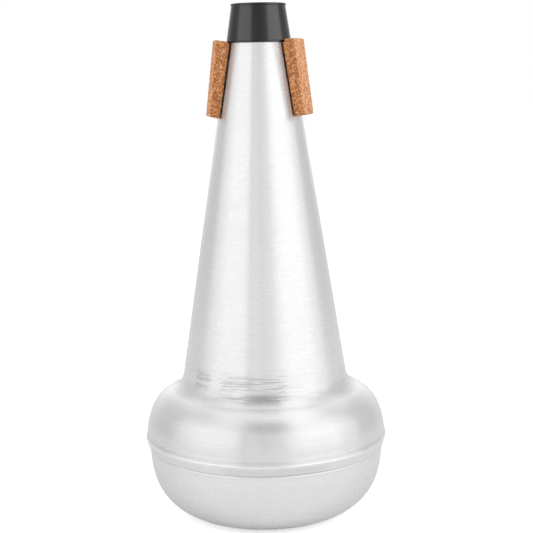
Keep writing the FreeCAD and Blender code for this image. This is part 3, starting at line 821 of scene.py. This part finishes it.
def body_outline():
    """Outer face of the body from the skirt's edge to the mouth."""
    foot_r, foot_z = place_on_round(BEAD_ROUND, 90, SKIRT_ANGLE)
    foot_r += bead_radius
    foot_z += skirt_edge_z + BEAD_RISE
    edge_r = foot_r - (foot_z - skirt_edge_z) * math.tan(math.radians(SKIRT_ANGLE - 90))
    outline = [(edge_r, skirt_edge_z, SKIRT_ANGLE)]
    run_to(outline, foot_r, foot_z)
    round_off(outline, BEAD_ROUND, 88)
    round_off(outline, BEAD_TOP_ROUND, 60)
    crease_r, crease_z, _ = outline[-1]
    for inwards, upwards, angle in CREASE:
        outline.append((crease_r - inwards, crease_z + upwards, angle))
    end_angle, side_angle = CREASE_END
    flare_r, flare_z = place_on_round(BEAD_ROUND, 90, end_angle)
    outline.append((bead_radius + flare_r, skirt_edge_z + BEAD_RISE + flare_z, side_angle))
    for radius, angle, hollow in BODY_ROUNDS:
        round_off(outline, radius, angle, hollow)
    run_to(outline, MOUTH_RADIUS, mouth_z)
    return outline


outline = body_outline()
body_points = [(r, z) for r, z, _ in outline] + inner_face(outline, SHEET)
body = spin("spun_body", soften(body_points), aluminium, ring_depth=0.05, ring_pitch=2.4,
            hollow_depth=0.10, hollow_size=26.0)


# %% [markdown]
# The base pan is the second spun piece. Its outer face runs from a rounded edge at the seam
# down and in to the middle of the base. At the seam the sheet steps in by its own thickness
# and goes on behind the skirt as a neck, which holds the two pieces together. The outline is
# drawn downwards and reversed at the end, because the lathe wants the outside on the right.

# %% Base pan
SEAM_GAP = 0.07
PAN_START = (0.05, 0.3, 110)
PAN_ROUNDS = ((9.4, 93, True), (47.0, 107, False), (26.0, 180, False))
PAN_EDGE_DEPTH = 0.8
PAN_EDGE_ANGLE = 45
NECK_GAP = 0.1
SHOULDER_DEPTH = 2.4


def pan_outline():
    """Outer face of the pan from its rounded edge at the seam to the middle of the base."""
    inwards, downwards, start_angle = PAN_START
    outline = [(body_outline()[0][0] - inwards, skirt_edge_z - downwards, start_angle)]
    for radius, angle, hollow in PAN_ROUNDS:
        round_off(outline, radius, angle, hollow)
    run_to(outline, 0, 0)
    below = [point for point in outline if point[1] < skirt_edge_z - PAN_EDGE_DEPTH]
    r, z, angle = below[0]
    fall = math.cos(math.radians(PAN_EDGE_ANGLE)) - math.cos(math.radians(angle))
    radius = (skirt_edge_z - SEAM_GAP - z) / fall
    start_r, start_z = place_on_round(radius, angle, PAN_EDGE_ANGLE)
    edge = [(r + start_r, z + start_z, PAN_EDGE_ANGLE)]
    round_off(edge, radius, angle)
    return edge + below[1:]


def neck_points():
    """The neck behind the skirt, from the pan's wall up, over its edge and down to the shoulder."""
    lean = math.radians(SKIRT_ANGLE - 90)
    edge_r = body_outline()[0][0] - (SHEET + NECK_GAP) / math.cos(lean)
    shoulder_z = skirt_edge_z - SEAM_GAP
    wall = SHEET / math.cos(lean)
    foot_r = edge_r + (shoulder_z - skirt_edge_z) * math.tan(lean)
    top_r = edge_r + (neck_top_z - skirt_edge_z) * math.tan(lean)
    step_z = shoulder_z - SHEET
    step_r = edge_r - wall + (step_z - skirt_edge_z) * math.tan(lean)
    return [(step_r, step_z), (top_r - wall, neck_top_z), (top_r, neck_top_z), (foot_r, shoulder_z)]


outer = pan_outline()
inner = inner_face(outer, SHEET)
upward = [point for point in inner if point[1] < skirt_edge_z - SEAM_GAP - SHOULDER_DEPTH * SHEET]
pan_points = neck_points() + [(r, z) for r, z, _ in outer] + [(0.0, SHEET)] + upward[1:]
pan = spin("spun_base_pan", soften(pan_points[::-1]), aluminium, ring_depth=0.04, ring_pitch=2.0,
           hollow_depth=0.06, hollow_size=22.0)


# %% [markdown]
# The end cap is moulded in black plastic: a hollow, slightly tapered cap with a lip round its
# top, a foot that rests on the cone's cut edge, and a plug below. Moulded plastic has no
# razor edges, so each corner is softened. The finish is a semi-gloss black with a faint
# orange peel from the mould and a few dull, handled patches.

# %% End cap
CAP_TOP_RADIUS = 12.45
CAP_FOOT_RADIUS = 15.0
CAP_FOOT = (0.15, 0.8)
CAP_LIP = 0.3
CAP_LIP_HEIGHT = 1.0
CAP_WALL = 2.0
CAP_CEILING = 2.5
VENT_RADIUS = 3.5
PLUG_GAP = 0.1
PLUG_LENGTH = 10.0
PLUG_BEVEL = 0.8
PLUG_WALL = 1.8
CAP_STEP = 1.2
CAP_COLUMNS = 128
CAP_BLACK = (0.002, 0.002, 0.0022, 1)
CAP_GREY = (0.005, 0.005, 0.0055, 1)
CAP_GLOSS = (0.17, 0.27)


def make_black_plastic():
    """Semi-gloss black plastic, a little dull where it is handled."""
    finish, tree, shader = new_finish("moulded_black_plastic")
    where = object_place(tree)
    grain = noise(tree, where, 900.0, 3.0)
    handled = noise(tree, where, 90.0, 4.0)
    colour = blend_colours(tree, spread(tree, handled, 0.35, 0.7), CAP_BLACK, CAP_GREY)
    rough = spread(tree, handled, 0.3, 0.7, *CAP_GLOSS)
    bump = node(tree, "ShaderNodeBump", {"Strength": 0.2, "Distance": 0.01 * MM,
                                         "Height": grain}).outputs[0]
    wire(tree, shader, {"Base Color": colour, "Roughness": rough, "Normal": bump})
    return finish


def cap_points():
    """The cap's outline, from the vent over the top and down the outside, back up the inside."""
    side_top_z = cap_top_z - CAP_LIP_HEIGHT
    ceiling_z = cap_top_z - CAP_CEILING
    lip = CAP_TOP_RADIUS + CAP_LIP
    plug = MOUTH_RADIUS - SHEET / math.cos(math.radians(CONE_LEAN)) - PLUG_GAP
    plug_end_z = mouth_z - PLUG_LENGTH
    foot_step, foot_height = CAP_FOOT
    foot_z = mouth_z + foot_height
    corners = [(VENT_RADIUS, cap_top_z), (lip - CAP_LIP, cap_top_z), (lip, cap_top_z - CAP_LIP),
               (lip, side_top_z), (CAP_TOP_RADIUS, side_top_z), (CAP_FOOT_RADIUS - foot_step, foot_z),
               (CAP_FOOT_RADIUS, foot_z), (CAP_FOOT_RADIUS, mouth_z), (plug, mouth_z),
               (plug, plug_end_z + PLUG_BEVEL), (plug - PLUG_BEVEL, plug_end_z),
               (plug - PLUG_WALL, plug_end_z), (CAP_TOP_RADIUS - CAP_WALL, ceiling_z),
               (VENT_RADIUS, ceiling_z)]
    points = []
    for index, (r, z) in enumerate(corners):
        next_r, next_z = corners[(index + 1) % len(corners)]
        steps = max(1, math.ceil(math.hypot(next_r - r, next_z - z) / CAP_STEP))
        for step in range(steps):
            points.append((r + (next_r - r) * step / steps, z + (next_z - z) * step / steps))
    return points


black_plastic = make_black_plastic()
cap = spin("moulded_end_cap", soften(cap_points()[::-1]), black_plastic, columns=CAP_COLUMNS)


# %% [markdown]
# Three bars of pressed cork hold the mute in the bell. Pressed cork is made of granules, under
# a millimetre across, baked together in a darker binder. On a bar that has been sawn and
# sanded the granules are cut through, some stand a little proud, some have fallen out, and
# the edges are nibbled. A bump map alone would leave the edges straight, so the relief is
# real. It is made by rule on a fine grid: a Voronoi pattern gives each granule its cell, and
# the same pattern is read again by the material, so colour and relief belong together.
#
# Each bar lies on the cone. The next helper turns a place on a bar, given across it, along
# it and off the metal, into a place in space.

# %% Places on the cone
LEAN = math.radians(CONE_LEAN)
GRAIN = 0.68


def onto_cone(tree, across, along, off, turn):
    """The place of a point that is given on the cone's slope, turned about the axis."""
    out = plus(tree, MOUTH_RADIUS * MM, times(tree, along, math.sin(LEAN)), times(tree, off, math.cos(LEAN)))
    down = minus(tree, mouth_z * MM, times(tree, along, math.cos(LEAN)))
    flat = vector_of(tree, out, across, plus(tree, down, times(tree, off, math.sin(LEAN))))
    return node(tree, "ShaderNodeVectorRotate", {"Vector": flat, "Angle": turn},
                rotation_type="Z_AXIS").outputs[0]


def granules(tree, place, kind="F1", output="Distance"):
    """The cells of the pressed cork, for the tree and for the material."""
    return node(tree, "ShaderNodeTexVoronoi", {"Vector": place, "Scale": 1 / (GRAIN * MM)},
                feature=kind).outputs[output]


print(f"cone leans {CONE_LEAN} degrees, granules {GRAIN} mm")


# %% [markdown]
# The tree starts from a box of fine squares. It tapers the box towards its lower end, pulls
# the corners in to a rounded edge, places it on the cone and then sinks the relief into it.
# Nothing is pushed outwards, so the bars stay within the CAD pieces.

# %% The cork tree
CORK_GRID = (26, 50, 142)
GLUE_THICKNESS = 0.3
STEP_AT = (0.15, 0.35)
BOW_AT = (0.2, 1.2)
WORN_REACH = 0.2


def make_cork_tree():
    """A sanded bar of pressed cork on the cone."""
    lengths = ("Length", "Width", "Top Thickness", "Low Thickness", "Rise", "Top Cut", "Low Cut",
               "Edge Round", "End Round", "Back Bow", "Step Depth", "Granule Depth", "Pit Depth",
               "Nibble Depth", "Turn")
    tree, given = new_tree("cork_bar", [(name, "Float") for name in lengths] + [("Finish", "Material")])

    def between(share, first, last):
        """first where share is 0, last where it is 1."""
        return plus(tree, first, times(tree, share, minus(tree, last, first)))

    across_count, along_count, up_count = CORK_GRID
    box = node(tree, "GeometryNodeMeshCube", {"Size": (1, 1, 1), "Vertices X": across_count,
                                              "Vertices Y": along_count,
                                              "Vertices Z": up_count}).outputs["Mesh"]
    corner = node(tree, "GeometryNodeInputPosition").outputs[0]
    unit = parts_of(tree, corner)
    outer = plus(tree, unit[0], 0.5)
    thickness = between(minus(tree, 0.5, unit[2]), given["Top Thickness"], given["Low Thickness"])
    rounding = between(outer, given["End Round"], given["Edge Round"])
    sides = vector_of(tree, thickness, given["Width"], given["Length"])
    square = vectors(tree, "MULTIPLY", corner, sides)
    rounds = vector_of(tree, rounding, rounding, given["End Round"])
    reach = vectors(tree, "SUBTRACT", vectors(tree, "MULTIPLY", sides, (0.5, 0.5, 0.5)), rounds)
    low_reach = vectors(tree, "MULTIPLY", reach, (-1, -1, -1))
    core = vectors(tree, "MAXIMUM", vectors(tree, "MINIMUM", square, reach), low_reach)
    beyond = vectors(tree, "DIVIDE", vectors(tree, "SUBTRACT", square, core), rounds)
    on_round = vectors(tree, "MULTIPLY", vectors(tree, "NORMALIZE", beyond), rounds)
    rounded = vectors(tree, "ADD", core, on_round)
    pulled_in = vectors(tree, "LENGTH", vectors(tree, "SUBTRACT", square, rounded))

    bar = parts_of(tree, rounded)
    share_out = plus(tree, maths(tree, "DIVIDE", bar[0], thickness), 0.5)
    share_down = minus(tree, 0.5, maths(tree, "DIVIDE", bar[2], given["Length"]))
    to_back = minus(tree, 1.0, share_out)
    top_end = times(tree, plus(tree, given["Rise"], times(tree, given["Top Cut"], to_back)), -1.0)
    low_end = plus(tree, minus(tree, given["Length"], given["Rise"]), times(tree, given["Low Cut"], to_back))
    along = between(share_down, top_end, low_end)
    across_share = maths(tree, "DIVIDE", bar[1], given["Width"])
    bow = times(tree, times(tree, given["Back Bow"], times(tree, across_share, across_share)),
                times(tree, 4.0, to_back))
    step = times(tree, given["Step Depth"], spread(tree, along, *(at * MM for at in STEP_AT), 1.0, 0.0))
    off = plus(tree, GLUE_THICKNESS * MM, step, times(tree, share_out, minus(tree, thickness, step)))
    off = minus(tree, off, times(tree, bow, spread(tree, along, *(at * MM for at in BOW_AT))))
    place = onto_cone(tree, bar[1], along, off, given["Turn"])
    box = store(tree, box, "outer", outer)
    box = store(tree, box, "worn", spread(tree, pulled_in, 0.0, WORN_REACH * MM))
    box = node(tree, "GeometryNodeSetPosition", {0: box, "Position": place}).outputs[0]

    here = node(tree, "GeometryNodeInputPosition").outputs[0]
    hill = spread(tree, granules(tree, here), 0.15, 0.75, smooth=True)
    chance = parts_of(tree, granules(tree, here, output="Color"))[1]
    missing = spread(tree, chance, 0.90, 0.94)
    worn = node(tree, "GeometryNodeInputNamedAttribute", {"Name": "worn"}, data_type="FLOAT").outputs[0]
    nibbled = times(tree, worn, spread(tree, noise(tree, here, 620.0, 2.0), 0.42, 0.72))
    sunk = plus(tree, times(tree, hill, given["Granule Depth"]), times(tree, missing, given["Pit Depth"]),
                times(tree, nibbled, given["Nibble Depth"]))
    normal = node(tree, "GeometryNodeInputNormal").outputs[0]
    inwards = node(tree, "ShaderNodeVectorMath", {0: normal, "Scale": times(tree, sunk, -1.0)},
                   operation="SCALE").outputs[0]
    box = node(tree, "GeometryNodeSetPosition", {0: box, "Offset": inwards}).outputs[0]
    end_tree(tree, box, given["Finish"])
    return tree


cork_tree = make_cork_tree()
print("cork tree with", len(cork_tree.nodes), "nodes")


# %% [markdown]
# The colour of pressed cork is a mixture. Each granule has its own brown, from a dark one to
# a few that are nearly yellow, and the binder between them is darker than most. Flakes of
# bark lie in it too, dark, and a little longer than wide. The sanded outer face is paler than
# the sawn sides, because dust stays in its pores. Light sinks into cork and hardly shines
# from it, so it is rough all over.

# %% Cork
CORK_BROWNS = [(0.0, (0.23, 0.070, 0.016, 1)), (0.18, (0.48, 0.184, 0.060, 1)),
               (0.50, (0.71, 0.308, 0.114, 1)), (0.85, (0.84, 0.420, 0.195, 1)),
               (1.0, (0.96, 0.600, 0.350, 1))]
BINDER_BROWN = (0.24, 0.068, 0.014, 1)
FLAKE_BROWN = (0.19, 0.055, 0.012, 1)
FIBRE_BROWN = (0.70, 0.33, 0.16, 1)
SHADE_BROWN = (0.42, 0.155, 0.050, 1)
DUST_BROWN = (0.88, 0.56, 0.38, 1)
SANDED_PALER = (1.14, 1.22, 1.42)
FLAKE_STRETCH = (1.0, 1.0, 0.62)
CORK_SHINE = 0.25
CORK_SIZES = {"Width": 11.5, "Low Thickness": 4.75, "Edge Round": 0.75, "End Round": 0.22,
              "Back Bow": 0.40, "Step Depth": 0.55, "Granule Depth": 0.08, "Pit Depth": 0.16,
              "Nibble Depth": 0.30}


def make_cork():
    """Pressed cork, read from the same cells as the relief."""
    finish, tree, shader = new_finish("pressed_cork")
    where = object_place(tree)
    chance = node(tree, "ShaderNodeSeparateColor", {0: granules(tree, where, output="Color")}).outputs[0]
    border = spread(tree, granules(tree, where, "DISTANCE_TO_EDGE"), 0.02, 0.14, smooth=True)
    colour = blend_colours(tree, border, BINDER_BROWN, ramp_of(tree, chance, CORK_BROWNS))
    flakes = noise(tree, vectors(tree, "MULTIPLY", where, FLAKE_STRETCH), 1150.0, 2.0, 0.6)
    colour = blend_colours(tree, spread(tree, flakes, 0.39, 0.49, 0.92, 0.0), colour, FLAKE_BROWN)
    fibre = noise(tree, where, 2600.0, 3.0)
    colour = blend_colours(tree, spread(tree, fibre, 0.35, 0.7, 0.0, 0.35), colour, FIBRE_BROWN)
    mottle = noise(tree, where, 420.0, 1.0)
    colour = blend_colours(tree, spread(tree, mottle, 0.35, 0.55, 0.22, 0.0), colour, SHADE_BROWN)
    outer = node(tree, "ShaderNodeAttribute", attribute_name="outer").outputs["Fac"]
    sanded = spread(tree, outer, 0.93, 1.0)
    colour = blend_colours(tree, sanded, colour, vectors(tree, "MULTIPLY", colour, SANDED_PALER))
    dust = times(tree, sanded, spread(tree, chance, 0.1, 0.7, 0.04, 0.22))
    colour = blend_colours(tree, dust, colour, DUST_BROWN)
    height = plus(tree, times(tree, border, 0.6), times(tree, fibre, 0.4))
    bump = node(tree, "ShaderNodeBump", {"Strength": 0.6, "Distance": 0.08 * MM,
                                         "Height": height}).outputs[0]
    rough = spread(tree, fibre, 0.3, 0.7, 0.78, 0.95)
    shader.inputs["Specular IOR Level"].default_value = CORK_SHINE
    wire(tree, shader, {"Base Color": colour, "Roughness": rough, "Normal": bump})
    return finish


def make_bar(side, strip):
    """The cork bar on one side, cut to its own size."""
    bar = new_piece(f"cork_bar_{side}", bpy.data.meshes.new(f"cork_bar_{side}"))
    sizes = CORK_SIZES | {"Length": strip["length"], "Top Thickness": strip["thickness"],
                          "Rise": strip["rise"], "Top Cut": strip["top_cut"],
                          "Low Cut": strip["low_cut"]}
    return bake(bar, cork_tree, sizes, {"Turn": math.radians(strip["angle"] - 90), "Finish": cork})


cork = make_cork()
cork_bars = {side: make_bar(side, strip) for side, strip in STRIPS.items()}


# %% [markdown]
# The bars are flat behind and the cone is round, so a bar touches it along its middle only,
# and glue fills the rest. When a bar is pressed down, some glue is pushed out along both
# edges and sets there as an uneven bead. The bed of glue is a CAD piece and keeps its shape.
# The beads are made here: a line beside the bed is swept with a round section whose size
# wanders, as squeezed glue does.

# %% Glue
GLUE_LENGTH = 32.2
GLUE_TOP_GAP = 1.5
BEAD_INSET = 0.3
BEAD_SIZES = {"Length": GLUE_LENGTH - 2 * BEAD_INSET, "Start": GLUE_TOP_GAP + BEAD_INSET, "Across": 4.70,
              "Off": -0.15, "Bead Radius": 0.36}
BEAD_UNEVENNESS = 0.45
BEAD_DRIFT = 0.3
BEAD_SECTION = 10
BEAD_POINTS = 90
GLUE_DARK = (0.065, 0.030, 0.017, 1)
GLUE_BROWN = (0.16, 0.078, 0.042, 1)


def make_glue():
    """Dark brown glue, set hard, a little shiny."""
    finish, tree, shader = new_finish("set_glue")
    lump = noise(tree, object_place(tree), 500.0, 3.0)
    colour = blend_colours(tree, spread(tree, lump, 0.35, 0.7), GLUE_DARK, GLUE_BROWN)
    rough = spread(tree, lump, 0.3, 0.7, 0.35, 0.6)
    bump = node(tree, "ShaderNodeBump", {"Strength": 0.5, "Distance": 0.06 * MM,
                                         "Height": lump}).outputs[0]
    wire(tree, shader, {"Base Color": colour, "Roughness": rough, "Normal": bump})
    return finish


def make_glue_tree():
    """A wandering bead of glue on each side of a bar."""
    lengths = ("Length", "Start", "Across", "Off", "Bead Radius", "Unevenness", "Turn", "Seed")
    tree, given = new_tree("glue_beads", [(name, "Float") for name in lengths] + [("Finish", "Material")])
    section = node(tree, "GeometryNodeCurvePrimitiveCircle", {"Resolution": BEAD_SECTION,
                                                              "Radius": 1.0}).outputs["Curve"]
    joined = node(tree, "GeometryNodeJoinGeometry")
    for side in (-1.0, 1.0):
        line = node(tree, "GeometryNodeCurvePrimitiveLine", {"Start": (0, 0, 0),
                                                             "End": (0, 0, 1)}).outputs["Curve"]
        line = node(tree, "GeometryNodeResampleCurve", {"Curve": line,
                                                        "Count": BEAD_POINTS}).outputs["Curve"]
        share = node(tree, "GeometryNodeSplineParameter").outputs["Factor"]
        at = plus(tree, times(tree, share, 16.0), plus(tree, given["Seed"], side * 31.0))
        swell = noise_along(tree, at, 1.0, 2.0)
        drift = noise_along(tree, plus(tree, at, 77.0), 0.7, 1.0)
        ends = times(tree, spread(tree, share, 0.0, 0.03, 0.35, 1.0, smooth=True),
                     spread(tree, share, 0.97, 1.0, 1.0, 0.35, smooth=True))
        wander = spread(tree, swell, 0.3, 0.7, -1.0, 1.0)
        size = plus(tree, 1.0, times(tree, given["Unevenness"], wander))
        radius = times(tree, given["Bead Radius"], size, ends)
        sideways = spread(tree, drift, 0.3, 0.7, -BEAD_DRIFT * MM, BEAD_DRIFT * MM)
        across = times(tree, side, plus(tree, given["Across"], sideways))
        along = plus(tree, times(tree, share, given["Length"]), given["Start"])
        place = onto_cone(tree, across, along, given["Off"], given["Turn"])
        line = node(tree, "GeometryNodeSetPosition", {0: line, "Position": place}).outputs[0]
        sweep = node(tree, "GeometryNodeCurveToMesh", {"Curve": line, "Profile Curve": section,
                                                       "Scale": radius, "Fill Caps": True})
        tree.links.new(sweep.outputs["Mesh"], joined.inputs[0])
    end_tree(tree, joined.outputs[0], given["Finish"])
    return tree


def make_beads(number, side, strip):
    """The glue squeezed out along both edges of one bar."""
    beads = new_piece(f"glue_squeeze_{side}", bpy.data.meshes.new(f"glue_squeeze_{side}"))
    turn = math.radians(strip["angle"] - 90)
    return bake(beads, glue_tree, BEAD_SIZES, {"Unevenness": BEAD_UNEVENNESS, "Turn": turn,
                                               "Seed": 11.0 * number, "Finish": glue})


glue = make_glue()
glue_tree = make_glue_tree()
glue_beads = [make_beads(number, side, strip) for number, (side, strip) in enumerate(STRIPS.items())]
for side in STRIPS:
    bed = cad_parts[f"glue_bed_{side}"]
    for slot in bed.material_slots:
        slot.material = glue
    print(bed.name, "has", len(bed.material_slots), "slot of glue")


# %% [markdown]
# Each dressed piece hides the frame piece that it stands for and rides on the one body. The
# beads of glue ride on it too.

# %% Put the pieces on the frame
for piece, stands_for, slot in ((body, "body_shell", "spun_aluminium"), (pan, "base_pan", "spun_aluminium"),
                                (cap, "end_cap", "cap_plastic"),
                                *((bar, f"cork_strip_{side}", "cork") for side, bar in cork_bars.items())):
    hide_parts(stands_for)
    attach(piece, "root")
    print(piece.name, "stands for", stands_for)
for beads in glue_beads:
    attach(beads, "root")


# %% [markdown]
# The lamps are seen in the gloss of the cap and the glue, as they should be. The metal
# already has its bright panels from the painted room, so the lamps are kept off it. Light
# linking does that: a lamp is given a collection, and the pieces in it are marked as left out.

# %% Keep the lamps off the metal
spared = bpy.data.collections.new("metal_pieces")
for piece in (body, pan):
    spared.objects.link(piece)
for entry in spared.collection_objects:
    entry.light_linking.link_state = "EXCLUDE"
for lamp in lamps:
    lamp.light_linking.receiver_collection = spared
